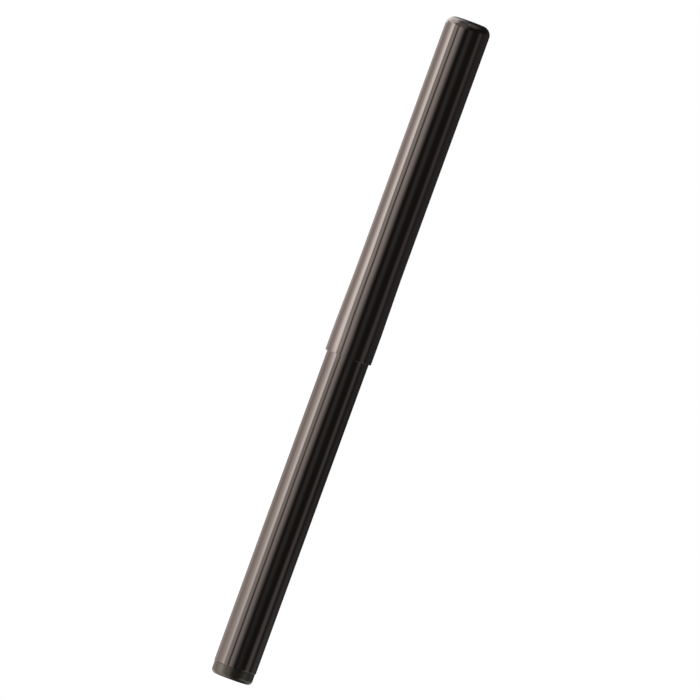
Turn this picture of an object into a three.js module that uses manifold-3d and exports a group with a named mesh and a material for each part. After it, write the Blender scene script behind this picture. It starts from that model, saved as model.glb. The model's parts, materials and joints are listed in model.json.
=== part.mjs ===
// A slim capped ballpoint pen that writes from a pressurized cartridge.
// Millimetres, +Z along the pen's axis. The origin is the middle of the flat tail face, and the
// writing point looks up, inside the cap.
//
// The pen is laid out round its cartridge: heights are stacked up from the tail face to the
// ball, and radii are stacked out from the cartridge's tube to the cap.
import * as THREE from 'three';
import { mergeVertices } from 'three/addons/utils/BufferGeometryUtils.js';
import Module from 'manifold-3d';

const wasm = await Module();
wasm.setup();

// Fineness: sides round the axis, and steps along a rounded edge
const OUTER_SIDES = 48;
const INNER_SIDES = 24;
const BALL_SIDES = 20;
const WIRE_SIDES = 6;
const COIL_STEPS = 12; // for each turn of the spring
const RING_STEPS = 8;
const LARGE_EDGE_STEPS = 6;
const SMALL_EDGE_STEPS = 2;

// Clearances
const SEAT_GAP = 0.03; // faces that meet end to end
const PRESS_GAP = 0.02; // pieces fixed in each other, on the radius
const RUNNING_GAP = 0.05; // pieces that turn or slide in each other, on the radius
const LOOSE_GAP = 0.1; // pieces that pass each other freely, on the radius
const THREAD_GAP = 0.08; // screw thread, on the radius and on each flank

// Cartridge
const CARTRIDGE_LENGTH = 87.5; // from its crimped rear end to the ball's front
const CARTRIDGE_RADIUS = 2.35;
const CARTRIDGE_WALL = 0.35;
const CRIMP_LIP = 0.5; // how far the rear end is turned in over the end plug
const CRIMP_THICKNESS = 0.4;
const CRIMP_CHAMFER = 0.2;
const END_PLUG_LENGTH = 4;
const GAS_LENGTH = 15; // pressurized gas between the end plug and the float
const FLOAT_LENGTH = 5;
const FLOAT_LIP = 0.4; // width of the float's sealing lip on the gas side
const FLOAT_DISH = 1; // depth of the hollow inside that lip

// Cartridge's front end
const HOLDER_SPIGOT_LENGTH = 5; // pressed into the tube
const HOLDER_SHOULDER_LENGTH = 1.2; // seats in the nose cone
const HOLDER_TUBE_LENGTH = 6.7;
const HOLDER_RADIUS = 1.22;
const HOLDER_WALL = 0.3;
const HOLDER_SOCKET_DEPTH = 3;
const HOLDER_FEED_RADIUS = 0.5;
const POINT_STEP = 0.06; // how far the point is set in from its holder
const POINT_CONE_LENGTH = 2.1;
const POINT_LIP = 0.1; // width of the rim round the ball
const POINT_FEED_RADIUS = 0.25;
const BALL_RADIUS = 0.5;
const BALL_GAP = 0.03;
const BALL_SHOWN = 0.32; // height of the ball's front above the rim

// Adapter behind the cartridge
const ADAPTER_EXTENSION = 10.6; // what it adds to the cartridge's length
const ADAPTER_SOCKET_DEPTH = 3;
const ADAPTER_FLOOR = 1; // under the cartridge
const ADAPTER_FOOT = 1; // on the spring
const ADAPTER_CORE_RADIUS = 1.5;
const ADAPTER_RIB_THICKNESS = 0.8;
const ADAPTER_RIBS = 4;

// Spring behind the adapter
const SPRING_LENGTH = 10.4;
const SPRING_WIRE_RADIUS = 0.2;
const SPRING_TURNS = 8;
const SPRING_CLOSING = 0.5; // how much closer the turns lie at the ends, from 0 to 1

// Tail plug
const PLUG_HEAD_LENGTH = 2;
const PLUG_STEP = 0.105; // how far the head is set in from the barrel
const PLUG_EDGE_RADIUS = 0.75;
const PLUG_SPIGOT_LENGTH = 5.5;
const PLUG_POCKET_DEPTH = 3;
const PLUG_POCKET_WALL = 0.7;

// Barrel and screw thread
const BARREL_WALL = 0.415; // outside the bottom of the thread
const BARREL_CHAMFER = 0.15;
const THREAD_PITCH = 0.6;
const THREAD_TURNS = 5;
const THREAD_DEPTH = 0.28;
const THREAD_CREST = 0.12; // width of the flat crest
const THREAD_FLANK = 0.17; // width of each sloping flank
const THREAD_RUNOUT = 0.5; // bore cut past the rear end of the thread

// Section: a coupler, a ring, a grip and a nose
const COUPLER_WALL = 0.47; // inside the bottom of its thread
const COUPLER_NECK_LENGTH = 0.4; // plain, between the thread and the ring
const COUPLER_NECK_STEP = 0.04; // how far the neck lies below the thread
const COUPLER_SPIGOT_LENGTH = 7; // pressed into the grip
const RING_WIRE_RADIUS = 0.26;
const RING_GAP = 0.01;
const SECTION_STEP = 0.275; // from the barrel's surface in to the grip's
const SECTION_LENGTH = 35;
const SECTION_TAPER = 0.37; // how much the grip's radius falls to its front
const SECTION_CHAMFER = 0.12;
const SECTION_FRONT_WALL = 0.34; // round the nose cone's spigot
const GROOVES = 6;
const GROOVE_SPACING = 1.8;
const GROOVE_WIDTH = 0.3;
const GROOVE_DEPTH = 0.1;
const NOSE_SPIGOT_LENGTH = 3;
const NOSE_SEAT_DEPTH = 1.75; // from the grip's front back to the cartridge's shoulder
const NOSE_LENGTH = 12.2;
const NOSE_FRONT_WALL = 0.35;
const NOSE_EDGE_RADIUS = 0.12;
const POINT_SHOWN = 2.8; // from the nose cone's front to the ball's

// Cap
const CAP_OVERLAP = 4.95; // barrel covered by the cap
const CAP_WALL = 0.35;
const CAP_BORE_GAP = 0.13; // round the grip, on the radius
const CAP_MOUTH_GAP = 0.04; // round the barrel, on the radius
const CAP_MOUTH_WALL = 0.33;
const CAP_MOUTH_LENGTH = 5; // widened and parallel
const CAP_FLARE_LENGTH = 10; // from the widened mouth to the full bore
const CAP_LIP_RADIUS = 0.1;
const CAP_END_THICKNESS = 1.1;
const CAP_EDGE_RADIUS = 1.6;
const CAP_CORNER_RADIUS = 0.5; // inside the closed end
const CAP_POINT_ROOM = 3.4; // from the ball to the closed end
const LINER_LENGTH = 16;
const LINER_WALL = 0.24;
const LINER_LEAD = 0.5; // chamfer where the grip enters
const LINER_FRONT = 2; // how far it reaches past the grip

// Radii from the inside out
const tubeBore = CARTRIDGE_RADIUS - CARTRIDGE_WALL;
const couplerBore = CARTRIDGE_RADIUS + LOOSE_GAP;
const threadRoot = couplerBore + COUPLER_WALL;
const threadCrest = threadRoot + THREAD_DEPTH;
const barrelBore = threadRoot + THREAD_GAP;
const barrelRadius = threadCrest + THREAD_GAP + BARREL_WALL;
const adapterRadius = barrelBore - LOOSE_GAP;
const plugRadius = barrelRadius - PLUG_STEP;
const plugSpigotRadius = barrelBore - PRESS_GAP;
const pocketRadius = plugSpigotRadius - PLUG_POCKET_WALL;
const springRadius = pocketRadius - LOOSE_GAP - SPRING_WIRE_RADIUS;
const neckRadius = threadRoot - COUPLER_NECK_STEP;
const ringRadius = neckRadius + RING_GAP + RING_WIRE_RADIUS;
const gripRearRadius = barrelRadius - SECTION_STEP;
const gripFrontRadius = gripRearRadius - SECTION_TAPER;
const gripSocketRadius = neckRadius + PRESS_GAP;
const noseSpigotRadius = gripFrontRadius - SECTION_FRONT_WALL - PRESS_GAP;
const noseBore = HOLDER_RADIUS + RUNNING_GAP;
const noseSeatBore = CARTRIDGE_RADIUS + RUNNING_GAP;
const noseFrontRadius = noseBore + NOSE_FRONT_WALL;
const capBore = gripRearRadius + CAP_BORE_GAP;
const capRadius = capBore + CAP_WALL;
const capMouthBore = barrelRadius + CAP_MOUTH_GAP;
const capMouthRadius = capMouthBore + CAP_MOUTH_WALL;
const holderSocketRadius = HOLDER_RADIUS - HOLDER_WALL;
const ballSeatRadius = BALL_RADIUS + BALL_GAP;

// Heights from the tail face up to the closed end of the cap
const plugTop = PLUG_HEAD_LENGTH + PLUG_SPIGOT_LENGTH;
const pocketFloor = plugTop - PLUG_POCKET_DEPTH;
const adapterRear = pocketFloor + SPRING_LENGTH;
const cartridgeRear = adapterRear + ADAPTER_EXTENSION;
const ballFront = cartridgeRear + CARTRIDGE_LENGTH;
const ballCentre = ballFront - BALL_RADIUS;
const pointRim = ballFront - BALL_SHOWN;
const noseFront = ballFront - POINT_SHOWN;
const gripFront = noseFront - NOSE_LENGTH;
const gripRear = gripFront - SECTION_LENGTH;
const barrelFront = gripRear - 2 * (RING_WIRE_RADIUS + RING_GAP);
const barrelRear = PLUG_HEAD_LENGTH + SEAT_GAP;
const threadFront = barrelFront - COUPLER_NECK_LENGTH;
const threadRear = threadFront - THREAD_PITCH * THREAD_TURNS;
const couplerFront = gripRear + COUPLER_SPIGOT_LENGTH;
const noseRear = gripFront - NOSE_SPIGOT_LENGTH;
const holderSeat = gripFront - NOSE_SEAT_DEPTH;
const holderFront = holderSeat + HOLDER_TUBE_LENGTH;
const tubeFront = holderSeat - HOLDER_SHOULDER_LENGTH;
const holderRear = tubeFront - HOLDER_SPIGOT_LENGTH;
const endPlugRear = cartridgeRear + CRIMP_THICKNESS + SEAT_GAP;
const endPlugFront = endPlugRear + END_PLUG_LENGTH;
const floatRear = endPlugFront + GAS_LENGTH;
const floatFront = floatRear + FLOAT_LENGTH;
const capMouth = barrelFront - CAP_OVERLAP;
const capCeiling = ballFront + CAP_POINT_ROOM;
const capTop = capCeiling + CAP_END_THICKNESS;

// Finishes
const finish = (color, roughness, metalness) =>
  new THREE.MeshStandardMaterial({ color, roughness, metalness });
const glossBlackMetal = () => finish(0x2b2623, 0.15, 1);
const satinBlackMetal = () => finish(0x24221e, 0.4, 1);
const blackPolymer = () => finish(0x1c1b1a, 0.5, 0);
const greyPolymer = () => finish(0x6a6763, 0.5, 0);
const rubber = () => finish(0x151413, 0.8, 0);
const brass = () => finish(0xb08d4a, 0.3, 1);
const steel = () => finish(0xb9b7b2, 0.25, 1);
const carbide = () => finish(0x6c6b69, 0.15, 1);
const ink = () => finish(0x101216, 0.6, 0);

// Points of an arc about (r, z) from one angle to another, in degrees, both ends included.
function arc(r, z, radius, from, to, steps) {
  return Array.from({ length: steps + 1 }, (_, i) => {
    const angle = THREE.MathUtils.degToRad(from + ((to - from) * i) / steps);
    return [r + radius * Math.cos(angle), z + radius * Math.sin(angle)];
  });
}

// A solid turned about Z. Its outline of [radius, height] pairs runs up the outside and down the
// bore, and closes on itself unless both its ends lie on the axis.
function turned(outline, sides) {
  const points = outline.map(([r, z]) => new THREE.Vector2(r, z));
  const onAxis = points[0].x === 0 && points[points.length - 1].x === 0;
  if (!onAxis) points.push(points[0].clone());
  return new THREE.LatheGeometry(points, sides).rotateX(Math.PI / 2);
}

function rod(radius, from, to, sides) {
  return turned([[0, from], [radius, from], [radius, to], [0, to]], sides);
}

// The closed solid that a geometry bounds.
function solidOf(geometry) {
  const bare = geometry.index ? geometry.toNonIndexed() : geometry.clone();
  bare.deleteAttribute('normal');
  bare.deleteAttribute('uv');
  const merged = mergeVertices(bare, 1e-4);
  return new wasm.Manifold(
    new wasm.Mesh({
      numProp: 3,
      vertProperties: merged.attributes.position.array,
      triVerts: new Uint32Array(merged.index.array),
    }),
  );
}

function geometryOf(solid) {
  const { vertProperties, triVerts } = solid.getMesh();
  const geometry = new THREE.BufferGeometry();
  geometry.setAttribute('position', new THREE.BufferAttribute(vertProperties, 3));
  geometry.setIndex(new THREE.BufferAttribute(triVerts, 1));
  geometry.computeVertexNormals();
  return geometry;
}

// A solid rod with a right-hand thread, cut off at two heights. With a spread it grows on the
// radius and on each flank, so that it cuts a nut for the plain rod to turn in.
function threadedRod(from, to, spread) {
  const crestHalf = (THREAD_CREST + spread) / 2;
  const outline = [
    [-crestHalf - THREAD_FLANK, threadRoot + spread],
    [-crestHalf, threadCrest + spread],
    [crestHalf, threadCrest + spread],
    [crestHalf + THREAD_FLANK, threadRoot + spread],
  ];
  const perTurn = outline.length;
  const spareTurns = 2;
  const firstTurn = Math.floor((from - threadRear) / THREAD_PITCH) - spareTurns;
  const lastTurn = Math.ceil((to - threadRear) / THREAD_PITCH) + spareTurns;
  const rings = (lastTurn - firstTurn) * perTurn;
  const vertex = (ring, side) => {
    const turn = firstTurn + Math.floor(ring / perTurn);
    const [along, radius] = outline[ring % perTurn];
    const angle = (2 * Math.PI * side) / INNER_SIDES;
    const height = threadRear + THREAD_PITCH * (turn + side / INNER_SIDES) + along;
    return [radius * Math.cos(angle), radius * Math.sin(angle), height];
  };
  const positions = [];
  const triangle = (a, b, c) => positions.push(...a, ...b, ...c);
  for (let ring = 0; ring < rings; ring++) {
    for (let side = 0; side < INNER_SIDES; side++) {
      const low = vertex(ring, side);
      const high = vertex(ring + 1, side + 1);
      triangle(low, vertex(ring, side + 1), high);
      triangle(low, high, vertex(ring + 1, side));
    }
  }
  // Each end is a fan over one turn of the helix and the step that joins that turn's two ends.
  const lowMiddle = [0, 0, vertex(0, 0)[2]];
  const highMiddle = [0, 0, vertex(rings, INNER_SIDES)[2]];
  for (let side = 0; side < INNER_SIDES; side++) {
    triangle(lowMiddle, vertex(0, side + 1), vertex(0, side));
    triangle(highMiddle, vertex(rings, side), vertex(rings, side + 1));
  }
  for (let ring = 0; ring < perTurn; ring++) {
    triangle(lowMiddle, vertex(ring, 0), vertex(ring + 1, 0));
    triangle(highMiddle, vertex(rings + ring + 1, 0), vertex(rings + ring, 0));
  }
  const whole = new THREE.BufferGeometry();
  whole.setAttribute('position', new THREE.Float32BufferAttribute(positions, 3));
  const slab = rod(2 * threadCrest, from, to, INNER_SIDES);
  return solidOf(whole).intersect(solidOf(slab));
}

// A compression spring's centre line, with its turns closer together at both ends.
class SpringLine extends THREE.Curve {
  constructor(low, high) {
    super();
    this.low = low;
    this.high = high;
  }

  getPoint(t, target = new THREE.Vector3()) {
    const eased = t - (SPRING_CLOSING * Math.sin(2 * Math.PI * t)) / (2 * Math.PI);
    const angle = 2 * Math.PI * SPRING_TURNS * t;
    const height = this.low + (this.high - this.low) * eased;
    return target.set(springRadius * Math.cos(angle), springRadius * Math.sin(angle), height);
  }
}

function tailPlug() {
  const edgeCentre = plugRadius - PLUG_EDGE_RADIUS;
  return turned([
    [0, 0],
    ...arc(edgeCentre, PLUG_EDGE_RADIUS, PLUG_EDGE_RADIUS, -90, 0, LARGE_EDGE_STEPS),
    [plugRadius, PLUG_HEAD_LENGTH],
    [plugSpigotRadius, PLUG_HEAD_LENGTH],
    [plugSpigotRadius, plugTop],
    [pocketRadius, plugTop],
    [pocketRadius, pocketFloor],
    [0, pocketFloor],
  ], OUTER_SIDES);
}

function barrelTube() {
  const tube = turned([
    [barrelBore, barrelRear],
    [barrelRadius - BARREL_CHAMFER, barrelRear],
    [barrelRadius, barrelRear + BARREL_CHAMFER],
    [barrelRadius, barrelFront - BARREL_CHAMFER],
    [barrelRadius - BARREL_CHAMFER, barrelFront],
    [barrelBore, barrelFront],
  ], OUTER_SIDES);
  const tap = threadedRod(threadRear - THREAD_RUNOUT, barrelFront + THREAD_PITCH, THREAD_GAP);
  return geometryOf(solidOf(tube).subtract(tap));
}

function refillSpring() {
  const inset = SPRING_WIRE_RADIUS + RUNNING_GAP;
  const line = new SpringLine(pocketFloor + inset, adapterRear - inset);
  const wire = new THREE.Shape(
    Array.from({ length: WIRE_SIDES }, (_, i) => {
      const angle = (2 * Math.PI * i) / WIRE_SIDES;
      const [x, y] = [Math.cos(angle), Math.sin(angle)];
      return new THREE.Vector2(x, y).multiplyScalar(SPRING_WIRE_RADIUS);
    }),
  );
  return new THREE.ExtrudeGeometry(wire, { extrudePath: line, steps: COIL_STEPS * SPRING_TURNS });
}

function refillAdapter() {
  const socketRadius = CARTRIDGE_RADIUS + PRESS_GAP;
  const socketFloor = cartridgeRear - SEAT_GAP;
  const socketTop = cartridgeRear + ADAPTER_SOCKET_DEPTH;
  const ribTop = socketFloor - ADAPTER_FLOOR;
  const body = solidOf(turned([
    [0, adapterRear],
    [adapterRadius, adapterRear],
    [adapterRadius, adapterRear + ADAPTER_FOOT],
    [ADAPTER_CORE_RADIUS, adapterRear + ADAPTER_FOOT],
    [ADAPTER_CORE_RADIUS, ribTop],
    [adapterRadius, ribTop],
    [adapterRadius, socketTop],
    [socketRadius, socketTop],
    [socketRadius, socketFloor],
    [0, socketFloor],
  ], INNER_SIDES));
  const ribSize = [2 * (adapterRadius - RUNNING_GAP), ADAPTER_RIB_THICKNESS, ribTop - adapterRear];
  const ribs = Array.from({ length: ADAPTER_RIBS / 2 }, (_, i) =>
    solidOf(
      new THREE.BoxGeometry(...ribSize)
        .translate(0, 0, (adapterRear + ribTop) / 2)
        .rotateZ((2 * Math.PI * i) / ADAPTER_RIBS),
    ),
  );
  return geometryOf(ribs.reduce((whole, rib) => whole.add(rib), body));
}

function sectionCoupler() {
  const body = turned([
    [couplerBore, threadRear],
    [threadRoot, threadRear],
    [threadRoot, threadFront],
    [neckRadius, threadFront],
    [neckRadius, couplerFront],
    [couplerBore, couplerFront],
  ], INNER_SIDES);
  const bore = rod(couplerBore, threadRear - THREAD_PITCH, barrelFront, INNER_SIDES);
  const thread = threadedRod(threadRear, threadFront, 0).subtract(solidOf(bore));
  return geometryOf(thread.add(solidOf(body)));
}

function sectionRing() {
  const middle = (barrelFront + gripRear) / 2;
  const lastAngle = 360 - 360 / RING_STEPS;
  return turned(
    arc(ringRadius, middle, RING_WIRE_RADIUS, 0, lastAngle, RING_STEPS - 1),
    INNER_SIDES,
  );
}

function sectionGrip() {
  const front = gripFront - SEAT_GAP;
  const spigotEnd = couplerFront + SEAT_GAP;
  const noseSocketRear = noseRear - SEAT_GAP;
  const noseSocketRadius = noseSpigotRadius + PRESS_GAP;
  const radiusAt = (z) =>
    THREE.MathUtils.mapLinear(z, gripRear, gripFront, gripRearRadius, gripFrontRadius);
  const firstGroove = noseSocketRear - GROOVES * GROOVE_SPACING;
  const grooves = Array.from({ length: GROOVES }, (_, i) => {
    const low = firstGroove + i * GROOVE_SPACING;
    const middle = low + GROOVE_WIDTH / 2;
    const high = low + GROOVE_WIDTH;
    return [[radiusAt(low), low], [radiusAt(middle) - GROOVE_DEPTH, middle], [radiusAt(high), high]];
  });
  return turned([
    [gripSocketRadius, gripRear],
    [gripRearRadius - SECTION_CHAMFER, gripRear],
    [radiusAt(gripRear + SECTION_CHAMFER), gripRear + SECTION_CHAMFER],
    ...grooves.flat(),
    [radiusAt(front), front],
    [noseSocketRadius, front],
    [noseSocketRadius, noseSocketRear],
    [couplerBore, noseSocketRear],
    [couplerBore, spigotEnd],
    [gripSocketRadius, spigotEnd],
  ], OUTER_SIDES);
}

function noseCone() {
  const seat = holderSeat + SEAT_GAP;
  const rimCentre = [noseFrontRadius - NOSE_EDGE_RADIUS, noseFront - NOSE_EDGE_RADIUS];
  return turned([
    [noseSeatBore, noseRear],
    [noseSpigotRadius, noseRear],
    [noseSpigotRadius, gripFront],
    [gripFrontRadius, gripFront],
    ...arc(...rimCentre, NOSE_EDGE_RADIUS, 0, 90, SMALL_EDGE_STEPS),
    [noseBore, noseFront],
    [noseBore, seat],
    [noseSeatBore, seat],
  ], OUTER_SIDES);
}

function cartridgeTube() {
  const lip = tubeBore - CRIMP_LIP;
  return turned([
    [lip, cartridgeRear],
    [CARTRIDGE_RADIUS - CRIMP_CHAMFER, cartridgeRear],
    [CARTRIDGE_RADIUS, cartridgeRear + CRIMP_CHAMFER],
    [CARTRIDGE_RADIUS, tubeFront],
    [tubeBore, tubeFront],
    [tubeBore, cartridgeRear + CRIMP_THICKNESS],
    [lip, cartridgeRear + CRIMP_THICKNESS],
  ], INNER_SIDES);
}

function cartridgeEndPlug() {
  return rod(tubeBore - PRESS_GAP, endPlugRear, endPlugFront, INNER_SIDES);
}

function slidingFloat() {
  const radius = tubeBore - RUNNING_GAP;
  const dishRadius = radius - FLOAT_LIP;
  return turned([
    [0, floatRear + FLOAT_DISH],
    [dishRadius - FLOAT_LIP, floatRear + FLOAT_DISH],
    [dishRadius, floatRear],
    [radius, floatRear],
    [radius, floatFront],
    [0, floatFront],
  ], INNER_SIDES);
}

function inkColumn() {
  return rod(tubeBore - PRESS_GAP, floatFront + SEAT_GAP, holderRear - SEAT_GAP, INNER_SIDES);
}

function pointHolder() {
  const socketFloor = holderFront - HOLDER_SOCKET_DEPTH;
  const spigotRadius = tubeBore - PRESS_GAP;
  return turned([
    [HOLDER_FEED_RADIUS, holderRear],
    [spigotRadius, holderRear],
    [spigotRadius, tubeFront + SEAT_GAP],
    [CARTRIDGE_RADIUS, tubeFront + SEAT_GAP],
    [CARTRIDGE_RADIUS, holderSeat],
    [HOLDER_RADIUS, holderSeat],
    [HOLDER_RADIUS, holderFront],
    [holderSocketRadius, holderFront],
    [holderSocketRadius, socketFloor],
    [HOLDER_FEED_RADIUS, socketFloor],
  ], INNER_SIDES);
}

function writingPoint() {
  const rear = holderFront - HOLDER_SOCKET_DEPTH + SEAT_GAP;
  const shoulder = holderFront + SEAT_GAP;
  const spigotRadius = holderSocketRadius - PRESS_GAP;
  const radius = HOLDER_RADIUS - POINT_STEP;
  const rimAngle = THREE.MathUtils.radToDeg(Math.asin((pointRim - ballCentre) / ballSeatRadius));
  const feedAngle = -THREE.MathUtils.radToDeg(Math.acos(POINT_FEED_RADIUS / ballSeatRadius));
  const seat = arc(0, ballCentre, ballSeatRadius, rimAngle, feedAngle, LARGE_EDGE_STEPS);
  return turned([
    [POINT_FEED_RADIUS, rear],
    [spigotRadius, rear],
    [spigotRadius, shoulder],
    [radius, shoulder],
    [radius, pointRim - POINT_CONE_LENGTH],
    [seat[0][0] + POINT_LIP, pointRim],
    ...seat,
  ], INNER_SIDES);
}

function writingBall() {
  return new THREE.SphereGeometry(BALL_RADIUS, BALL_SIDES, BALL_SIDES / 2)
    .rotateX(Math.PI / 2)
    .translate(0, 0, ballCentre);
}

function capShell() {
  const mouthTop = capMouth + CAP_MOUTH_LENGTH;
  const flareTop = mouthTop + CAP_FLARE_LENGTH;
  const lipCentre = [capMouthRadius - CAP_LIP_RADIUS, capMouth + CAP_LIP_RADIUS];
  const edgeCentre = [capRadius - CAP_EDGE_RADIUS, capTop - CAP_EDGE_RADIUS];
  const cornerCentre = [capBore - CAP_CORNER_RADIUS, capCeiling - CAP_CORNER_RADIUS];
  return turned([
    [0, capCeiling],
    ...arc(...cornerCentre, CAP_CORNER_RADIUS, 90, 0, SMALL_EDGE_STEPS),
    [capBore, flareTop],
    [capMouthBore, mouthTop],
    [capMouthBore, capMouth],
    ...arc(...lipCentre, CAP_LIP_RADIUS, -90, 0, SMALL_EDGE_STEPS),
    [capMouthRadius, mouthTop],
    [capRadius, flareTop],
    ...arc(...edgeCentre, CAP_EDGE_RADIUS, 0, 90, LARGE_EDGE_STEPS),
    [0, capTop],
  ], OUTER_SIDES);
}

function capLiner() {
  const outer = capBore - PRESS_GAP;
  const inner = outer - LINER_WALL;
  const front = gripFront + LINER_FRONT;
  const rear = front - LINER_LENGTH;
  return turned([
    [inner + LINER_WALL / 2, rear],
    [outer, rear],
    [outer, front],
    [inner, front],
    [inner, rear + LINER_LEAD],
  ], OUTER_SIDES);
}

function piece(name, geometry, material) {
  const mesh = new THREE.Mesh(geometry, material);
  mesh.name = name;
  return mesh;
}

const barrel = new THREE.Group().add(
  piece('barrel_tube', barrelTube(), glossBlackMetal()),
  piece('tail_plug', tailPlug(), satinBlackMetal()),
  piece('refill_spring', refillSpring(), steel()),
);

const cartridge = new THREE.Group().add(
  piece('refill_adapter', refillAdapter(), greyPolymer()),
  piece('cartridge_tube', cartridgeTube(), steel()),
  piece('cartridge_end_plug', cartridgeEndPlug(), brass()),
  piece('sliding_float', slidingFloat(), greyPolymer()),
  piece('ink_column', inkColumn(), ink()),
  piece('point_holder', pointHolder(), brass()),
  piece('writing_point', writingPoint(), steel()),
  piece('writing_ball', writingBall(), carbide()),
);

const section = new THREE.Group().add(
  piece('section_coupler', sectionCoupler(), brass()),
  piece('section_o_ring', sectionRing(), rubber()),
  piece('section_grip', sectionGrip(), glossBlackMetal()),
  piece('nose_cone', noseCone(), satinBlackMetal()),
);

const cap = new THREE.Group().add(
  piece('cap_shell', capShell(), glossBlackMetal()),
  piece('cap_liner', capLiner(), blackPolymer()),
);

const pen = new THREE.Group().add(barrel, cartridge, section, cap);

export default pen;
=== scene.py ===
# The looks of a slim capped ballpoint pen: turned pieces with fine edges and real threads, finishes
# made of shader nodes, and a light tent whose panels are mirrored in the black coating.
import json
import math

import bmesh
import bpy
import numpy as np
from mathutils import Matrix, Vector


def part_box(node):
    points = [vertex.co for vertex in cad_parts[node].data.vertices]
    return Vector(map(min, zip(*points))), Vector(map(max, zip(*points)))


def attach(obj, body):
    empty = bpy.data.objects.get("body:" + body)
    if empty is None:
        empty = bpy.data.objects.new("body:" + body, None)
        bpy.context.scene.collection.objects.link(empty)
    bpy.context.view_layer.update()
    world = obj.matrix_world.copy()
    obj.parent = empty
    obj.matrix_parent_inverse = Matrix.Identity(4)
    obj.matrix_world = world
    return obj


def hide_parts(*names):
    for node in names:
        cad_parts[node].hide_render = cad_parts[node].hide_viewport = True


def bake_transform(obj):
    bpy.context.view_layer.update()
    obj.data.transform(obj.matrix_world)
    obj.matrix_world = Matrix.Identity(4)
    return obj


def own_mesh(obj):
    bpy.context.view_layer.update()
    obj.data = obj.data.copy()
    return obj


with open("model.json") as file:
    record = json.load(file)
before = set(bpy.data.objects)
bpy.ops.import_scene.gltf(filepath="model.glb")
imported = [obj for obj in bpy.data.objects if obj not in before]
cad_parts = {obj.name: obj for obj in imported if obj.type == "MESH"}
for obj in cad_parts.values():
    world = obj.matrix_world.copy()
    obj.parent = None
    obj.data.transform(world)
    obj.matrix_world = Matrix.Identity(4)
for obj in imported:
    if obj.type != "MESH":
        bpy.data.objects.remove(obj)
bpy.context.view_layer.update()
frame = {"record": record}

MM = 0.001  # a millimetre, in which the pen's sizes are given, in the scene's metres

# Fineness
SIDES = 128  # round the axis
LEAST_EDGE_STEPS = 4  # along a rounded edge
EDGE_STEPS_PER_MM = 12  # added for each millimetre of the edge's radius
LARGE_EDGE = 1.5  # radius past which no more are added
LONG_STRETCH = 0.5  # length past which a stretch between edges has a ring near each end
RING_INSET = 0.04  # from the end to its ring, which keeps the shading of the edge tight
SPRING_STEPS = 48  # for each turn
WIRE_SIDES = 14
O_RING_SIDES = 24
BALL_STEPS = 32  # from pole to pole
SEAT_POINTS = 16  # along the ball's seat
MERGE_DISTANCE = 0.0005
SHARP_ANGLE = math.radians(32)

# Clearances
SEAT_GAP = 0.03  # faces that meet end to end
PRESS_GAP = 0.02  # pieces fixed in each other, on the radius
RUNNING_GAP = 0.05  # pieces that turn or slide in each other, on the radius

# Radii of small edges
BROKEN_EDGE = 0.04
SOFT_EDGE = 0.12

# Tail plug
PLUG_HEAD_LENGTH = 2.0
PLUG_EDGE_RADIUS = 0.75
PLUG_POCKET_DEPTH = 3.0
PLUG_POCKET_WALL = 0.7

# Barrel and screw thread
BARREL_BORE = 3.0
THREAD_PITCH = 0.6
THREAD_TURNS = 5
THREAD_DEPTH = 0.28
THREAD_CREST = 0.12
THREAD_FLANK = 0.17
THREAD_GAP = 0.08  # how much wider the barrel's thread is cut
THREAD_RUNOUT = 0.5  # how far it runs past the end of the section's thread

# Spring
SPRING_WIRE_RADIUS = 0.2
SPRING_TURNS = 8
SPRING_CLOSING = 0.5  # share of the mean pitch that the end turns lack

# Cartridge
TUBE_BORE = 2.0
CRIMP_BORE = 1.5
CRIMP_THICKNESS = 0.4
CRIMP_EDGE_RADIUS = 0.3
FLOAT_LIP = 0.4
FLOAT_DISH = 1.0
HOLDER_SPIGOT_LENGTH = 5.0
HOLDER_SHOULDER_LENGTH = 1.2
HOLDER_RADIUS = 1.22
HOLDER_SOCKET_RADIUS = 0.92
HOLDER_SOCKET_DEPTH = 3.0
HOLDER_FEED_RADIUS = 0.5
POINT_RADIUS = 1.16
POINT_FEED_RADIUS = 0.25
POINT_CONE_LENGTH = 2.1
POINT_LIP = 0.1
BALL_GAP = 0.03

# Adapter
ADAPTER_CORE_RADIUS = 1.5
ADAPTER_RIB_THICKNESS = 0.8
ADAPTER_RIBS = 4
ADAPTER_FOOT = 1.0
ADAPTER_FLOOR = 1.0
ADAPTER_SOCKET_DEPTH = 3.0

# Section
COUPLER_BORE = 2.45
COUPLER_NECK_STEP = 0.04
SECTION_CHAMFER = 0.12
NOSE_SPIGOT_RADIUS = 2.69
NOSE_SEAT_BORE = 2.4
NOSE_FRONT_WALL = 0.35
GROOVES = 6
GROOVE_SPACING = 1.8
GROOVE_WIDTH = 0.3
GROOVE_DEPTH = 0.1

# Cap
CAP_RADIUS = 3.9
CAP_WALL = 0.35
CAP_MOUTH_WALL = 0.33
CAP_MOUTH_LENGTH = 5.0
CAP_FLARE_LENGTH = 10.0
FLARE_BLEND = 200.0  # radius that blends the flare into the straight walls
CAP_LIP_RADIUS = 0.06
CAP_END_THICKNESS = 1.1
CAP_EDGE_RADIUS = 1.6
CAP_CORNER_RADIUS = 0.5
LINER_WALL = 0.24
LINER_LEAD = 0.5

# Camera, with the pen leaning in its picture
CAMERA_ELEVATION = math.radians(2.3)
CAMERA_LEAN = math.radians(20.05)
CAMERA_DISTANCE = 4.9007  # metres
CAMERA_LENS = 1501.5  # millimetres
CAMERA_TARGET = Vector((-0.1226, 0, 58.765)) * MM

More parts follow.
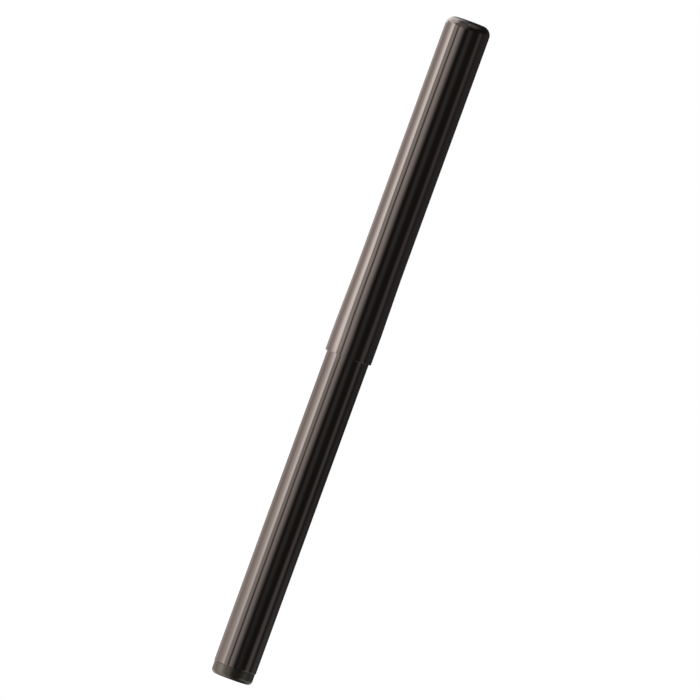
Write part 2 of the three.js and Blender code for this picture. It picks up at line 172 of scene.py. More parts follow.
# The light tent that the coating mirrors. A panel of its wall has two sides, in degrees round the
# pen from the camera's side towards +X, and a light, given where the cap, its mouth, the barrel and
# the barrel's foot mirror it. The widths of its two soft edges are in degrees too.
WHITE = (1, 1, 1)
COOL = (0.97, 1.01, 1.06)
PINK = (1.07, 0.98, 0.96)
DIM = (0.92, 0.97, 1)
WALL_PANELS = (
    # a soft panel behind at the left
    dict(cap=(-162, -96, 0.87), mouth=(-162, -96, 0.87), barrel=(-157, -91, 0.77),
         foot=(-157, -91, 0.9), soft=(40, 36), tint=PINK),
    # a strip light and the glow round it
    dict(cap=(-100, -69, 1.6), mouth=(-100, -62, 1.65), barrel=(-97, -63, 1.35),
         foot=(-97, -63, 1.03), soft=(30, 10), tint=WHITE),
    dict(cap=(-87, -71, 1.65), mouth=(-87, -64, 1.7), barrel=(-79, -63, 1.4),
         foot=(-79, -62, 1.05), soft=(18, 9), tint=COOL),
    # soft panels at the left, with a dark bar between them
    dict(cap=(-66, -51, 1.06), mouth=(-60, -44, 1.35), barrel=(-60, -45, 0.87),
         foot=(-61, -43.5, 0.95), soft=(6, 12), tint=WHITE),
    dict(cap=(-43.5, -22, 1.05), mouth=(-37, -16.5, 1.08), barrel=(-38.5, -18.5, 0.92),
         foot=(-35, -16, 0.82), soft=(8, 32), tint=WHITE),
    # slits in the black flag at the right, and its lighter back
    dict(cap=(9, 26, 0.11), mouth=(9, 26, 0.08), barrel=(9, 26, 0.11),
         foot=(5, 26, 0.05), soft=(20, 24), tint=DIM),
    dict(cap=(65, 82, 0.165), mouth=(60, 82, 0.19), barrel=(64, 81, 0.2),
         foot=(58, 81, 0.27), soft=(18, 16), tint=DIM),
    dict(cap=(90, 140, 0.06), mouth=(92, 140, 0.06), barrel=(96, 132, 0.065),
         foot=(97, 140, 0.14), soft=(30, 40), tint=DIM),
)
FLAG_LIGHT = 0.038  # where no panel stands
WALL_TOP = (34, 48)  # rises in degrees between which the wall fades

# Panels over the wall, mirrored in the cap's rounded edge, and under it, mirrored in the plug. Each
# starts, is whole, fades and ends at a rise of its own.
END_PANELS = (
    dict(sides=(-172, -140), soft=(16, 30), light=1, rises=(20, 26, 62, 76)),
    dict(sides=(-150, -85), soft=(30, 30), light=1.9, rises=(32, 44, 62, 76)),
    dict(sides=(-95, -10), soft=(20, 40), light=0.37, rises=(34, 48, 70, 82)),
    dict(sides=(-175, -125), soft=(20, 30), light=0.5, rises=(-60, -50, -40, -25)),
    dict(sides=(40, 165), soft=(30, 20), light=0.5, rises=(-60, -50, -40, -25)),
)
ZENITH_LIGHT = 0.3
ZENITH_EDGES = (62, 82)  # rises between which everything fades into it
TENT_END_RISE = 88
TENT_RISE_STEP = 0.5

# Sizes and places of the tent, the floor and the lamp, in metres
TENT_RADIUS = 0.15
TENT_SEAM = 0.0015  # height over which the barrel's part of the wall runs into the cap's
MOUTH_RISE = 0.026  # height over which the mouth's places run into the cap's
FOOT_HEIGHTS = (-0.005, 0.03)  # between which the foot's places run into the barrel's
FLOOR_RADIUS = 0.5
LAMP_PLACE = (-0.5, -0.4, 0.8)
LAMP_SIZE = 0.4

# Levels of the floor, the lamp and the world
FLOOR_FADE = (0.1, 0.6)  # shares of the floor's radius between which it turns white
FLOOR_GREY = 0.2
FLOOR_GLOW = 0.88
LAMP_POWER = 4
WORLD_LIGHT = 0.7  # on matt surfaces


def span(node):
    """The rear height, front height and radius of a turned CAD node, in millimetres."""
    low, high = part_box(node)
    return low.z / MM, high.z / MM, high.x / MM


def rounded(corners):
    """An outline of radius and height, with an arc at each corner that has a third number."""
    points = []
    for i, (r, z, *fillet) in enumerate(corners):
        corner = Vector((r, z))
        if not fillet:
            points.append(corner)
            continue
        before = (Vector(corners[i - 1][:2]) - corner).normalized()
        after = (Vector(corners[(i + 1) % len(corners)][:2]) - corner).normalized()
        half_angle = before.angle(after) / 2
        radius = fillet[0]
        centre = corner + (before + after).normalized() * radius / math.sin(half_angle)
        start = (corner + before * radius / math.tan(half_angle) - centre).normalized()
        end = (corner + after * radius / math.tan(half_angle) - centre).normalized()
        steps = LEAST_EDGE_STEPS + round(min(radius, LARGE_EDGE) * EDGE_STEPS_PER_MM)
        arc = [start.slerp(end, step / steps) for step in range(steps + 1)]
        points += [centre + direction * radius for direction in arc]
    return with_near_rings(points)


def with_near_rings(points):
    """Adds a point near each end of every long stretch that isn't on the axis."""
    outline = points[:1]
    for point, following in zip(points, points[1:]):
        stretch = following - point
        along_axis = point.x == 0 and following.x == 0
        if stretch.length > LONG_STRETCH and not along_axis:
            inset = stretch.normalized() * RING_INSET
            outline += [point + inset, following - inset]
        outline.append(following)
    return [tuple(point) for point in outline]


def add_object(name, data):
    added = bpy.data.objects.new(name, data)
    bpy.context.scene.collection.objects.link(added)
    return added


def mesh_object(name, build):
    """A smooth-shaded mesh object with sharp corners kept, from a function that fills a bmesh."""
    shape = bmesh.new()
    build(shape)
    bmesh.ops.remove_doubles(shape, verts=shape.verts, dist=MERGE_DISTANCE * MM)
    bmesh.ops.recalc_face_normals(shape, faces=shape.faces)
    mesh = bpy.data.meshes.new(name)
    shape.to_mesh(mesh)
    shape.free()
    mesh.shade_smooth()
    mesh.set_sharp_from_angle(angle=SHARP_ANGLE)
    return add_object(name, mesh)


def lathe(shape, outline, thread=None):
    """Turns an outline about Z, which closes on itself unless both its ends are on the axis. A
    thread is a function that gives the rest of the outline at each angle."""
    columns = []
    for side in range(SIDES + 1):
        angle = 2 * math.pi * side / SIDES
        points = outline + thread(angle) if thread else outline
        columns.append([
            shape.verts.new((r * math.cos(angle) * MM, r * math.sin(angle) * MM, z * MM))
            for r, z in points
        ])
    closed = outline[0][0] > 0 or outline[-1][0] > 0
    for column, beside in zip(columns, columns[1:]):
        for i in range(len(column) if closed else len(column) - 1):
            after = (i + 1) % len(column)
            shape.faces.new((column[i], beside[i], beside[after], column[after]))


def turned(name, corners, thread=None):
    return mesh_object(name, lambda shape: lathe(shape, rounded(corners), thread))


def thread_height(angle, z, datum, spread):
    """How far a right-hand thread stands out at an angle and a height."""
    turn = (z - datum) / THREAD_PITCH - angle / (2 * math.pi)
    along = abs(turn - round(turn)) * THREAD_PITCH
    slope = ((THREAD_CREST + spread) / 2 + THREAD_FLANK - along) / THREAD_FLANK
    return THREAD_DEPTH * min(max(slope, 0), 1)


def thread_outline(angle, root, rear, front, datum, spread):
    """The outline of a thread at an angle. One crest is at the datum height where the angle is 0,
    and the spread is what is added to the crest's width."""
    half_crest = (THREAD_CREST + spread) / 2
    half_foot = half_crest + THREAD_FLANK
    first = math.floor((rear - datum) / THREAD_PITCH) - 1
    last = math.ceil((front - datum) / THREAD_PITCH) + 1
    points = []
    for turn in range(first, last + 1):
        middle = datum + (turn + angle / (2 * math.pi)) * THREAD_PITCH
        for along in (-half_foot, -half_crest, half_crest, half_foot):
            z = min(max(middle + along, rear), front)
            points.append((root + thread_height(angle, z, datum, spread), z))
    return points


def tail_plug(name):
    rear, front, radius = span("tail_plug")
    head = rear + PLUG_HEAD_LENGTH
    spigot = BARREL_BORE - PRESS_GAP
    pocket = spigot - PLUG_POCKET_WALL
    floor = front - PLUG_POCKET_DEPTH
    return turned(name, [
        (0, rear),
        (radius, rear, PLUG_EDGE_RADIUS),
        (radius, head, BROKEN_EDGE),
        (spigot, head),
        (spigot, front, SOFT_EDGE),
        (pocket, front, SOFT_EDGE),
        (pocket, floor, SOFT_EDGE),
        (0, floor),
    ])


def barrel_tube(name):
    rear, front, radius = span("barrel_tube")
    thread_rear = span("section_coupler")[0]
    tap_rear = thread_rear - THREAD_RUNOUT
    tap_front = front - SOFT_EDGE

    def tapped(angle):
        tap = BARREL_BORE, tap_rear, tap_front, thread_rear, THREAD_GAP
        return thread_outline(angle, *tap)[::-1]

    return turned(name, [
        (BARREL_BORE, tap_rear),
        (BARREL_BORE, rear, BROKEN_EDGE),
        (radius, rear, SOFT_EDGE),
        (radius, front, SOFT_EDGE),
        (BARREL_BORE + THREAD_DEPTH, front, BROKEN_EDGE),
    ], tapped)


def refill_spring(name):
    low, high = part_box("refill_spring")
    middle_radius = high.x / MM - SPRING_WIRE_RADIUS
    rear = low.z / MM + SPRING_WIRE_RADIUS
    front = high.z / MM - SPRING_WIRE_RADIUS
    steps = SPRING_STEPS * SPRING_TURNS

    def build(shape):
        rings = []
        for step in range(steps + 1):
            t = step / steps
            eased = t - SPRING_CLOSING * math.sin(2 * math.pi * t) / (2 * math.pi)
            angle = 2 * math.pi * SPRING_TURNS * t
            height = rear + (front - rear) * eased
            out = Vector((math.cos(angle), math.sin(angle), 0))
            ring = []
            for side in range(WIRE_SIDES):
                turn = 2 * math.pi * side / WIRE_SIDES
                reach = middle_radius + SPRING_WIRE_RADIUS * math.cos(turn)
                rise = height + SPRING_WIRE_RADIUS * math.sin(turn)
                ring.append(shape.verts.new((out * reach + Vector((0, 0, rise))) * MM))
            rings.append(ring)
        for ring, following in zip(rings, rings[1:]):
            for side in range(WIRE_SIDES):
                after = (side + 1) % WIRE_SIDES
                shape.faces.new((ring[side], ring[after], following[after], following[side]))
        shape.faces.new(rings[0])
        shape.faces.new(rings[-1])

    return mesh_object(name, build)


def refill_adapter(name):
    rear, front, radius = span("refill_adapter")
    socket = span("cartridge_tube")[2] + PRESS_GAP
    floor = front - ADAPTER_SOCKET_DEPTH - SEAT_GAP
    rib_top = floor - ADAPTER_FLOOR
    foot_top = rear + ADAPTER_FOOT
    outline = rounded([
        (0, rear),
        (radius, rear, SOFT_EDGE),
        (radius, foot_top, SOFT_EDGE),
        (ADAPTER_CORE_RADIUS, foot_top, SOFT_EDGE),
        (ADAPTER_CORE_RADIUS, rib_top, SOFT_EDGE),
        (radius, rib_top, SOFT_EDGE),
        (radius, front, SOFT_EDGE),
        (socket, front, SOFT_EDGE),
        (socket, floor),
        (0, floor),
    ])

    def build(shape):
        lathe(shape, outline)
        for i in range(ADAPTER_RIBS):
            size = (radius - RUNNING_GAP, ADAPTER_RIB_THICKNESS, rib_top - foot_top)
            middle = Vector((size[0] / 2, 0, (foot_top + rib_top) / 2))
            place = Matrix.Rotation(2 * math.pi * i / ADAPTER_RIBS, 4, "Z")
            place = place @ Matrix.Translation(middle * MM)
            rib = bmesh.ops.create_cube(shape, size=MM, matrix=place @ Matrix.Diagonal((*size, 1)))
            outer = [
                edge
                for edge in {edge for vert in rib["verts"] for edge in vert.link_edges}
                if all(vert.co.xy.length > ADAPTER_CORE_RADIUS * MM for vert in edge.verts)
            ]
            bmesh.ops.bevel(
                shape, geom=outer, offset=SOFT_EDGE * MM, segments=LEAST_EDGE_STEPS, affect="EDGES"
            )

    return mesh_object(name, build)


def cartridge_tube(name):
    rear, front, radius = span("cartridge_tube")
    return turned(name, [
        (CRIMP_BORE, rear, BROKEN_EDGE),
        (radius, rear, CRIMP_EDGE_RADIUS),
        (radius, front, BROKEN_EDGE),
        (TUBE_BORE, front),
        (TUBE_BORE, rear + CRIMP_THICKNESS),
        (CRIMP_BORE, rear + CRIMP_THICKNESS),
    ])


def cartridge_end_plug(name):
    rear, front, radius = span("cartridge_end_plug")
    return turned(name, [
        (0, rear),
        (radius, rear, SOFT_EDGE),
        (radius, front, SOFT_EDGE),
        (0, front),
    ])


def sliding_float(name):
    rear, front, radius = span("sliding_float")
    dish = radius - FLOAT_LIP
    return turned(name, [
        (0, rear + FLOAT_DISH),
        (dish - FLOAT_LIP, rear + FLOAT_DISH, SOFT_EDGE),
        (dish, rear, BROKEN_EDGE),
        (radius, rear, BROKEN_EDGE),
        (radius, front, SOFT_EDGE),
        (0, front),
    ])


def ink_column(name):
    rear, front, radius = span("ink_column")
    return turned(name, [
        (0, rear),
        (radius, rear, SOFT_EDGE),
        (radius, front, SOFT_EDGE),
        (0, front),
    ])


def point_holder(name):
    rear, front, radius = span("point_holder")
    shoulder_rear = rear + HOLDER_SPIGOT_LENGTH + SEAT_GAP
    seat = rear + HOLDER_SPIGOT_LENGTH + HOLDER_SHOULDER_LENGTH
    socket_floor = front - HOLDER_SOCKET_DEPTH
    spigot = TUBE_BORE - PRESS_GAP
    return turned(name, [
        (HOLDER_FEED_RADIUS, rear, BROKEN_EDGE),
        (spigot, rear, SOFT_EDGE),
        (spigot, shoulder_rear),
        (radius, shoulder_rear, BROKEN_EDGE),
        (radius, seat, BROKEN_EDGE),
        (HOLDER_RADIUS, seat, BROKEN_EDGE),
        (HOLDER_RADIUS, front, BROKEN_EDGE),
        (HOLDER_SOCKET_RADIUS, front, BROKEN_EDGE / 2),
        (HOLDER_SOCKET_RADIUS, socket_floor),
        (HOLDER_FEED_RADIUS, socket_floor),
    ])


def writing_point(name):
    rear, rim, _ = span("writing_point")
    _, ball_front, ball_radius = span("writing_ball")
    ball_centre = ball_front - ball_radius
    holder_front = span("point_holder")[1]
    seat_radius = ball_radius + BALL_GAP
    rim_angle = math.asin((rim - ball_centre) / seat_radius)
    feed_angle = -math.acos(POINT_FEED_RADIUS / seat_radius)
    seat = [
        (seat_radius * math.cos(angle), ball_centre + seat_radius * math.sin(angle))
        for angle in np.linspace(rim_angle, feed_angle, SEAT_POINTS)
    ]
    spigot = HOLDER_SOCKET_RADIUS - PRESS_GAP
    shoulder = holder_front + SEAT_GAP
    return turned(name, [
        (POINT_FEED_RADIUS, rear),
        (spigot, rear, BROKEN_EDGE),
        (spigot, shoulder),
        (POINT_RADIUS, shoulder, BROKEN_EDGE),
        (POINT_RADIUS, rim - POINT_CONE_LENGTH, SOFT_EDGE),
        (seat[0][0] + POINT_LIP, rim, BROKEN_EDGE / 2),
        *seat,
    ])


def writing_ball(name):
    _, front, radius = span("writing_ball")
    centre = front - radius
    return turned(name, [
        (max(radius * math.cos(latitude), 0), centre + radius * math.sin(latitude))
        for latitude in np.linspace(-math.pi / 2, math.pi / 2, BALL_STEPS + 1)
    ])


def section_coupler(name):
    rear, front, crest = span("section_coupler")
    root = crest - THREAD_DEPTH
    thread_front = rear + THREAD_TURNS * THREAD_PITCH
    neck = root - COUPLER_NECK_STEP
    return turned(name, [
        (neck, thread_front),
        (neck, front, BROKEN_EDGE),
        (COUPLER_BORE, front, BROKEN_EDGE),
        (COUPLER_BORE, rear, BROKEN_EDGE),
        (root, rear),
    ], lambda angle: thread_outline(angle, root, rear, thread_front, rear, 0))


def section_o_ring(name):
    rear, front, radius = span("section_o_ring")
    wire = (front - rear) / 2
    middle = (front + rear) / 2
    return turned(name, [
        (radius - wire + wire * math.cos(turn), middle + wire * math.sin(turn))
        for turn in np.linspace(0, 2 * math.pi, O_RING_SIDES, endpoint=False)
    ])


def section_grip(name):
    rear, front, rear_radius = span("section_grip")
    nose_rear, _, front_radius = span("nose_cone")
    coupler_front = span("section_coupler")[1]
    neck = span("section_coupler")[2] - THREAD_DEPTH - COUPLER_NECK_STEP
    taper = [rear + SECTION_CHAMFER, front + SEAT_GAP], [rear_radius, front_radius]
    first_groove = nose_rear - SEAT_GAP - GROOVES * GROOVE_SPACING
    grooves = []
    for i in range(GROOVES):
        low = first_groove + i * GROOVE_SPACING
        middle = low + GROOVE_WIDTH / 2
        high = low + GROOVE_WIDTH
        grooves += [
            (np.interp(low, *taper), low, BROKEN_EDGE),
            (np.interp(middle, *taper) - GROOVE_DEPTH, middle, BROKEN_EDGE),
            (np.interp(high, *taper), high, BROKEN_EDGE),
        ]
    return turned(name, [
        (neck + PRESS_GAP, rear, BROKEN_EDGE),
        (rear_radius, rear, SECTION_CHAMFER),
        *grooves,
        (np.interp(front, *taper), front, BROKEN_EDGE),
        (NOSE_SPIGOT_RADIUS + PRESS_GAP, front),
        (NOSE_SPIGOT_RADIUS + PRESS_GAP, nose_rear - SEAT_GAP),
        (COUPLER_BORE, nose_rear - SEAT_GAP),
        (COUPLER_BORE, coupler_front + SEAT_GAP),
        (neck + PRESS_GAP, coupler_front + SEAT_GAP),
    ])


def nose_cone(name):
    rear, front, radius = span("nose_cone")
    shoulder = span("section_grip")[1] + SEAT_GAP
    seat = span("cartridge_tube")[1] + HOLDER_SHOULDER_LENGTH + SEAT_GAP
    bore = HOLDER_RADIUS + RUNNING_GAP
    return turned(name, [
        (NOSE_SEAT_BORE, rear, BROKEN_EDGE),
        (NOSE_SPIGOT_RADIUS, rear, BROKEN_EDGE),
        (NOSE_SPIGOT_RADIUS, shoulder),
        (radius, shoulder, BROKEN_EDGE),
        (bore + NOSE_FRONT_WALL, front, SOFT_EDGE),
        (bore, front, BROKEN_EDGE),
        (bore, seat),
        (NOSE_SEAT_BORE, seat),
    ])


def cap_shell(name):
    mouth, top, mouth_radius = span("cap_shell")
    mouth_top = mouth + CAP_MOUTH_LENGTH
    flare_top = mouth_top + CAP_FLARE_LENGTH
    ceiling = top - CAP_END_THICKNESS
    bore = CAP_RADIUS - CAP_WALL
    mouth_bore = mouth_radius - CAP_MOUTH_WALL
    return turned(name, [
        (0, ceiling),
        (bore, ceiling, CAP_CORNER_RADIUS),
        (bore, flare_top),
        (mouth_bore, mouth_top),
        (mouth_bore, mouth, BROKEN_EDGE),
        (mouth_radius, mouth, CAP_LIP_RADIUS),
        (mouth_radius, mouth_top, FLARE_BLEND),
        (CAP_RADIUS, flare_top, FLARE_BLEND),
        (CAP_RADIUS, top, CAP_EDGE_RADIUS),
        (0, top),
    ])


def cap_liner(name):
    rear, front, radius = span("cap_liner")
    inner = radius - LINER_WALL
    return turned(name, [
        (inner + LINER_WALL / 2, rear, BROKEN_EDGE),
        (radius, rear, BROKEN_EDGE),
        (radius, front, BROKEN_EDGE),
        (inner, front, BROKEN_EDGE),
        (inner, rear + LINER_LEAD, SOFT_EDGE),
    ])


class Surface:
    """A material of shader nodes round one Principled shader. Its sizes are in millimetres."""

    def __init__(self, slot, metallic):
        self.material = bpy.data.materials.new(slot)
        self.material.use_nodes = True
        self.nodes = self.material.node_tree.nodes
        self.links = self.material.node_tree.links
        self.shader = self.nodes["Principled BSDF"]
        self.shader.inputs["Metallic"].default_value = metallic
        self.place = self.nodes.new("ShaderNodeTexCoord").outputs["Object"]

    def noise(self, size, stretch=(1, 1, 1), detail=2):
        """Noise from 0 to 1 with features of a size, drawn out along X, Y and Z by a stretch."""
        scale = self.nodes.new("ShaderNodeMapping")
        scale.inputs["Scale"].default_value = [1 / (size * MM * factor) for factor in stretch]
        self.links.new(self.place, scale.inputs["Vector"])
        noise = self.nodes.new("ShaderNodeTexNoise")
        noise.inputs["Scale"].default_value = 1
        noise.inputs["Detail"].default_value = detail
        self.links.new(scale.outputs["Vector"], noise.inputs["Vector"])
        return noise.outputs["Fac"]

    def cells(self, size):
        """Distance to scattered points, from 0 at a point, for pits and specks."""
        cells = self.nodes.new("ShaderNodeTexVoronoi")
        cells.inputs["Scale"].default_value = 1 / (size * MM)
        self.links.new(self.place, cells.inputs["Vector"])
        return cells.outputs["Distance"]

    def ranged(self, value, low, high, start=0.3, end=0.7):
        """A value mapped from between start and end, where most noise lies, to low and high."""
        ranged = self.nodes.new("ShaderNodeMapRange")
        for name, number in (
            ("From Min", start), ("From Max", end), ("To Min", low), ("To Max", high)
        ):
            ranged.inputs[name].default_value = number
        self.links.new(value, ranged.inputs["Value"])
        return ranged.outputs["Result"]

    def sum(self, first, second):
        add = self.nodes.new("ShaderNodeMath")
        add.operation = "ADD"
        self.links.new(first, add.inputs[0])
        self.links.new(second, add.inputs[1])
        return add.outputs["Value"]

    def colour(self, factor, first, second):
        """The base colour goes from the first colour to the second with a factor."""
        mix = self.nodes.new("ShaderNodeMix")
        mix.data_type = "RGBA"
        mix.inputs["A"].default_value = (*first, 1)
        mix.inputs["B"].default_value = (*second, 1)
        self.links.new(factor, mix.inputs["Factor"])
        self.links.new(mix.outputs["Result"], self.shader.inputs["Base Color"])

    def roughness(self, value):
        self.links.new(value, self.shader.inputs["Roughness"])

    def bump(self, height, depth):
        """Relief of a depth in millimetres, over any that was added before."""
        bump = self.nodes.new("ShaderNodeBump")
        bump.inputs["Strength"].default_value = 1
        bump.inputs["Distance"].default_value = depth * MM
        self.links.new(height, bump.inputs["Height"])
        normal = self.shader.inputs["Normal"]
        if normal.is_linked:
            self.links.new(normal.links[0].from_socket, bump.inputs["Normal"])
        self.links.new(bump.outputs["Normal"], normal)


ROUND_THE_AXIS = (400, 400, 1)  # stretch of fine lines that run round the axis
ALONG_THE_AXIS = (1, 1, 200)  # stretch of fine lines that run along it
WIPED = (1, 1, 12)  # stretch of the marks that wiping along the pen leaves


def gloss_black_metal(slot):
    surface = Surface(slot, metallic=1)
    surface.colour(surface.noise(size=9), (0.17, 0.144, 0.133), (0.182, 0.15, 0.134))
    rings = surface.noise(size=0.09, stretch=ROUND_THE_AXIS)
    wipes = surface.noise(size=0.5, stretch=WIPED, detail=4)
    marks = surface.sum(rings, wipes)
    surface.roughness(surface.ranged(marks, low=0.05, high=0.09, start=0.7, end=1.3))
    surface.bump(rings, depth=0.00002)
    surface.bump(surface.noise(size=5), depth=0.002)
    return surface.material


def satin_black_metal(slot):
    surface = Surface(slot, metallic=1)
    clouds = surface.noise(size=1.2, detail=4)
    surface.colour(clouds, (0.116, 0.105, 0.086), (0.13, 0.117, 0.094))
    rings = surface.noise(size=0.12, stretch=ROUND_THE_AXIS, detail=3)
    surface.roughness(surface.ranged(rings, low=0.27, high=0.37))
    surface.bump(rings, depth=0.0006)
    surface.bump(surface.noise(size=0.08), depth=0.0002)
    return surface.material


def spring_steel(slot):
    surface = Surface(slot, metallic=1)
    clouds = surface.noise(size=0.7, detail=4)
    surface.colour(clouds, (0.44, 0.425, 0.4), (0.54, 0.535, 0.52))
    surface.roughness(surface.ranged(surface.noise(size=0.15, detail=4), low=0.24, high=0.4))
    surface.bump(surface.noise(size=0.03, stretch=ROUND_THE_AXIS), depth=0.0004)
    return surface.material


def stainless_steel(slot):
    surface = Surface(slot, metallic=1)
    clouds = surface.noise(size=2.5, detail=3)
    surface.colour(clouds, (0.57, 0.555, 0.53), (0.63, 0.615, 0.59))
    lines = surface.noise(size=0.05, stretch=ALONG_THE_AXIS, detail=3)
    surface.roughness(surface.ranged(lines, low=0.2, high=0.34))
    surface.bump(lines, depth=0.0004)
    return surface.material


def brass(slot):
    surface = Surface(slot, metallic=1)
    clouds = surface.noise(size=1.5, detail=5)
    surface.colour(clouds, (0.56, 0.385, 0.14), (0.66, 0.475, 0.195))
    rings = surface.noise(size=0.06, stretch=ROUND_THE_AXIS, detail=3)
    surface.roughness(surface.ranged(rings, low=0.18, high=0.34))
    surface.bump(rings, depth=0.0006)
    return surface.material


def carbide(slot):
    surface = Surface(slot, metallic=1)
    grains = surface.cells(size=0.02)
    shades = surface.ranged(grains, low=0, high=1)
    surface.colour(shades, (0.26, 0.26, 0.255), (0.34, 0.34, 0.335))
    surface.roughness(surface.ranged(grains, low=0.11, high=0.24))
    return surface.material


def ink(slot):
    surface = Surface(slot, metallic=0)
    clouds = surface.noise(size=1.5, detail=3)
    surface.colour(clouds, (0.004, 0.005, 0.009), (0.008, 0.009, 0.016))
    surface.roughness(surface.ranged(surface.noise(size=0.8, detail=3), low=0.14, high=0.3))
    surface.bump(surface.noise(size=0.9), depth=0.01)
    return surface.material


def black_rubber(slot):
    surface = Surface(slot, metallic=0)
    clouds = surface.noise(size=0.3, detail=5)
    surface.colour(clouds, (0.009, 0.009, 0.009), (0.02, 0.0195, 0.019))
    surface.roughness(surface.ranged(surface.noise(size=0.1, detail=4), low=0.6, high=0.82))
    surface.bump(surface.noise(size=0.03), depth=0.0015)
    return surface.material


def moulded(slot, dark, light):
    """Moulded plastic with a fine spark-worn texture."""
    surface = Surface(slot, metallic=0)
    surface.colour(surface.noise(size=2, detail=4), dark, light)
    surface.roughness(surface.ranged(surface.noise(size=0.12, detail=4), low=0.38, high=0.55))
    surface.bump(surface.cells(size=0.06), depth=0.002)
    return surface.material


def grey_polymer(slot):
    return moulded(slot, (0.13, 0.125, 0.116), (0.16, 0.155, 0.145))


def black_polymer(slot):
    return moulded(slot, (0.0095, 0.009, 0.0085), (0.014, 0.0135, 0.013))


def dress():
    """Replaces every CAD node with its fine piece, in its record's material."""
    record = frame["record"]
    makers = (
        tail_plug, barrel_tube, refill_spring, refill_adapter, cartridge_tube,
        cartridge_end_plug, sliding_float, ink_column, point_holder, writing_point, writing_ball,
        section_coupler, section_o_ring, section_grip, nose_cone, cap_shell, cap_liner,
    )
    finishes = (
        gloss_black_metal, satin_black_metal, spring_steel, grey_polymer, stainless_steel, brass,
        ink, carbide, black_rubber, black_polymer,
    )
    materials = {finish.__name__: finish(finish.__name__) for finish in finishes}
    slots = {part["node"]: part["material_slot"] for part in record["subparts"]}
    bodies = {
        node: body for body, nodes in record["behaviour"]["bodies"].items() for node in nodes
    }
    for make in makers:
        node = make.__name__
        piece = make(f"fine_{node}")
        piece.data.materials.append(materials[slots[node]])
        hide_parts(node)
        if node == "refill_spring":
            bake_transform(piece)
            continue
        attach(piece, bodies[node])
        if node == "ink_column":
            squash_ink(piece)


def squash_ink(piece):
    """Gives the ink a mesh of its own."""
    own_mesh(piece)


def smooth(values, start, end):
    """A share that rises from 0 at the start to 1 at the end with a soft run at both."""
    share = np.clip((values - start) / (end - start), 0, 1)
    return share * share * (3 - 2 * share)


def cover(angles, sides, soft):
    """How much an upright panel between two soft sides covers each angle, from 0 to 1."""
    before, after = (
        smooth(angles, side - edge / 2, side + edge / 2) for side, edge in zip(sides, soft)
    )
    return before * (1 - after)


def wall_light(angles, lower, upper, share):
    """The wall's light at each angle, in RGB, a share of the way from lower to upper places."""
    light = np.full((len(angles), 3), FLAG_LIGHT)
    for panel in WALL_PANELS:
        start, end, strength = (
            low + (high - low) * share for low, high in zip(panel[lower], panel[upper])
        )
        covered = cover(angles, (start, end), panel["soft"])
        light += np.outer(strength * covered, panel["tint"])
    return light


def end_light(angles, rise):
    """What the panels over and under the wall add at each angle of one rise."""
    light = np.zeros((len(angles), 1))
    for panel in END_PANELS:
        start, whole, fading, end = panel["rises"]
        level = smooth(rise, start, whole) * (1 - smooth(rise, fading, end))
        light += panel["light"] * level * cover(angles, panel["sides"], panel["soft"])[:, None]
    return light


def blank_material(mesh):
    """The nodes and links of a new material on a mesh, with no node yet."""
    material = bpy.data.materials.new(mesh.name)
    material.use_nodes = True
    material.node_tree.nodes.clear()
    mesh.materials.append(material)
    return material.node_tree.nodes, material.node_tree.links


def add_tent():
    """A shell round the pen that only mirrors show, with its panels painted on its points."""
    angles = np.arange(-180, 180)
    rises = np.arange(-TENT_END_RISE, TENT_END_RISE + TENT_RISE_STEP, TENT_RISE_STEP)
    turns = np.radians(angles)
    # the height that the end of the cap's mouth mirrors to the camera
    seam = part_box("cap_shell")[0].z - TENT_RADIUS * math.tan(CAMERA_ELEVATION)
    points, lights = [], []
    for rise in rises:
        height = CAMERA_TARGET.z + TENT_RADIUS * math.sin(math.radians(rise))
        reach = TENT_RADIUS * math.cos(math.radians(rise))
        above = smooth(height, seam - TENT_SEAM / 2, seam + TENT_SEAM / 2)
        cap_share = np.interp(height, (seam, seam + MOUTH_RISE), (0, 1))
        barrel_share = np.interp(height, FOOT_HEIGHTS, (0, 1))
        wall = wall_light(angles, "mouth", "cap", cap_share) * above
        wall += wall_light(angles, "foot", "barrel", barrel_share) * (1 - above)
        wall = FLAG_LIGHT + (wall - FLAG_LIGHT) * (1 - smooth(rise, *WALL_TOP))
        light = wall + end_light(angles, rise)
        lights.append(light + (ZENITH_LIGHT - light) * smooth(rise, *ZENITH_EDGES))
        points += [(reach * math.sin(turn), -reach * math.cos(turn), height) for turn in turns]
    count = len(angles)
    faces = [
        (row * count + i, row * count + (i + 1) % count,
         (row + 1) * count + (i + 1) % count, (row + 1) * count + i)
        for row in range(len(rises) - 1)
        for i in range(count)
    ]
    mesh = bpy.data.meshes.new("light_tent")
    mesh.from_pydata(points, [], faces)
    glow = mesh.attributes.new("glow", "FLOAT_COLOR", "POINT")
    colours = np.concatenate(lights)
    glow.data.foreach_set("color", np.column_stack((colours, np.ones(len(colours)))).ravel())
    nodes, links = blank_material(mesh)
    attribute = nodes.new("ShaderNodeAttribute")
    attribute.attribute_name = "glow"
    emission = nodes.new("ShaderNodeEmission")
    output = nodes.new("ShaderNodeOutputMaterial")
    links.new(attribute.outputs["Color"], emission.inputs["Color"])
    links.new(emission.outputs["Emission"], output.inputs["Surface"])
    tent = add_object("light_tent", mesh)
    tent.visible_camera = False
    tent.visible_diffuse = False
    tent.visible_transmission = False
    tent.visible_shadow = False


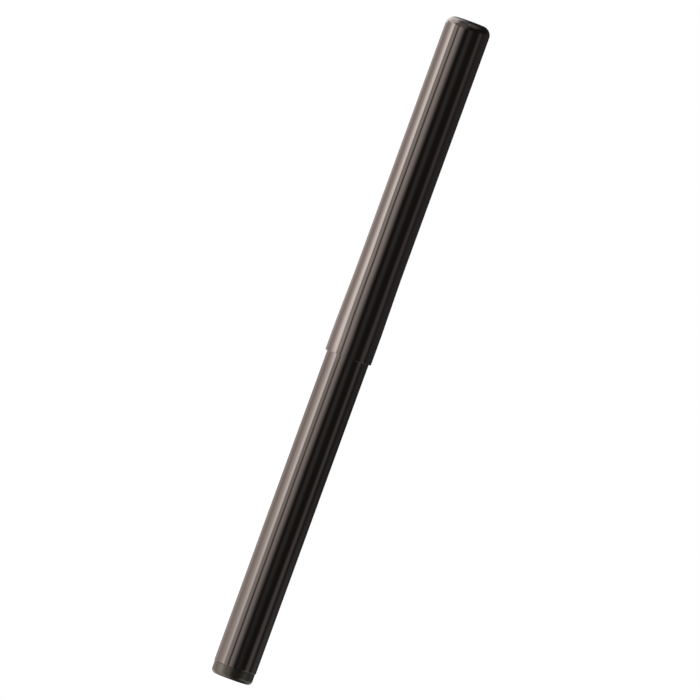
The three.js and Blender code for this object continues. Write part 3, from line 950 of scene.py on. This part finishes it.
def add_floor():
    """A pale disc that fades into the white background and keeps a faint shadow."""
    mesh = bpy.data.meshes.new("floor")
    shape = bmesh.new()
    bmesh.ops.create_circle(shape, cap_ends=True, radius=FLOOR_RADIUS, segments=SIDES)
    shape.to_mesh(mesh)
    shape.free()
    nodes, links = blank_material(mesh)
    place = nodes.new("ShaderNodeTexCoord")
    length = nodes.new("ShaderNodeVectorMath")
    length.operation = "LENGTH"
    fade = nodes.new("ShaderNodeMapRange")
    fade.interpolation_type = "SMOOTHSTEP"
    fade.inputs["From Min"].default_value = FLOOR_FADE[0] * FLOOR_RADIUS
    fade.inputs["From Max"].default_value = FLOOR_FADE[1] * FLOOR_RADIUS
    matte = nodes.new("ShaderNodeBsdfDiffuse")
    matte.inputs["Color"].default_value = (FLOOR_GREY, FLOOR_GREY, FLOOR_GREY, 1)
    lit = nodes.new("ShaderNodeEmission")
    lit.inputs["Strength"].default_value = FLOOR_GLOW
    near = nodes.new("ShaderNodeAddShader")
    far = nodes.new("ShaderNodeEmission")
    mix = nodes.new("ShaderNodeMixShader")
    output = nodes.new("ShaderNodeOutputMaterial")
    links.new(place.outputs["Object"], length.inputs[0])
    links.new(length.outputs["Value"], fade.inputs["Value"])
    links.new(matte.outputs["BSDF"], near.inputs[0])
    links.new(lit.outputs["Emission"], near.inputs[1])
    links.new(fade.outputs["Result"], mix.inputs["Fac"])
    links.new(near.outputs["Shader"], mix.inputs[1])
    links.new(far.outputs["Emission"], mix.inputs[2])
    links.new(mix.outputs["Shader"], output.inputs["Surface"])
    floor = add_object("floor", mesh)
    floor.visible_glossy = False
    floor.visible_transmission = False


def add_world():
    """White to the camera and in mirrors, and dimmer as the light on matt surfaces."""
    world = bpy.data.worlds.new("studio")
    bpy.context.scene.world = world
    world.use_nodes = True
    nodes, links = world.node_tree.nodes, world.node_tree.links
    background = nodes["Background"]
    background.inputs["Color"].default_value = (1, 1, 1, 1)
    path = nodes.new("ShaderNodeLightPath")
    strength = nodes.new("ShaderNodeMix")
    strength.inputs["A"].default_value = 1
    strength.inputs["B"].default_value = WORLD_LIGHT
    links.new(path.outputs["Is Diffuse Ray"], strength.inputs["Factor"])
    links.new(strength.outputs["Result"], background.inputs["Strength"])


def add_lamp():
    """A weak lamp at the upper left, which the coating doesn't mirror."""
    lamp = bpy.data.lights.new("soft_lamp", "AREA")
    lamp.shape = "SQUARE"
    lamp.size = LAMP_SIZE
    lamp.energy = LAMP_POWER
    holder = add_object("soft_lamp", lamp)
    holder.location = LAMP_PLACE
    aim = CAMERA_TARGET - holder.location
    holder.rotation_euler = aim.to_track_quat("-Z", "Y").to_euler()
    holder.visible_glossy = False


def add_camera():
    """A long lens a little above the pen's middle, rolled so that the pen leans in the picture."""
    back = Vector((0, -math.cos(CAMERA_ELEVATION), math.sin(CAMERA_ELEVATION)))
    level_up = Vector((0, math.sin(CAMERA_ELEVATION), math.cos(CAMERA_ELEVATION)))
    level_right = Vector((1, 0, 0))
    lean_sin, lean_cos = math.sin(CAMERA_LEAN), math.cos(CAMERA_LEAN)
    right = lean_sin * level_up + lean_cos * level_right
    up = lean_cos * level_up - lean_sin * level_right
    data = bpy.data.cameras.new("camera")
    data.lens = CAMERA_LENS
    camera = add_object("camera", data)
    turn = Matrix((right, up, back)).transposed().to_4x4()
    camera.matrix_world = Matrix.Translation(CAMERA_TARGET + CAMERA_DISTANCE * back) @ turn
    bpy.context.scene.camera = camera


dress()
add_tent()
add_floor()
add_world()
add_lamp()
add_camera()
bpy.context.scene.view_settings.view_transform = "Standard"
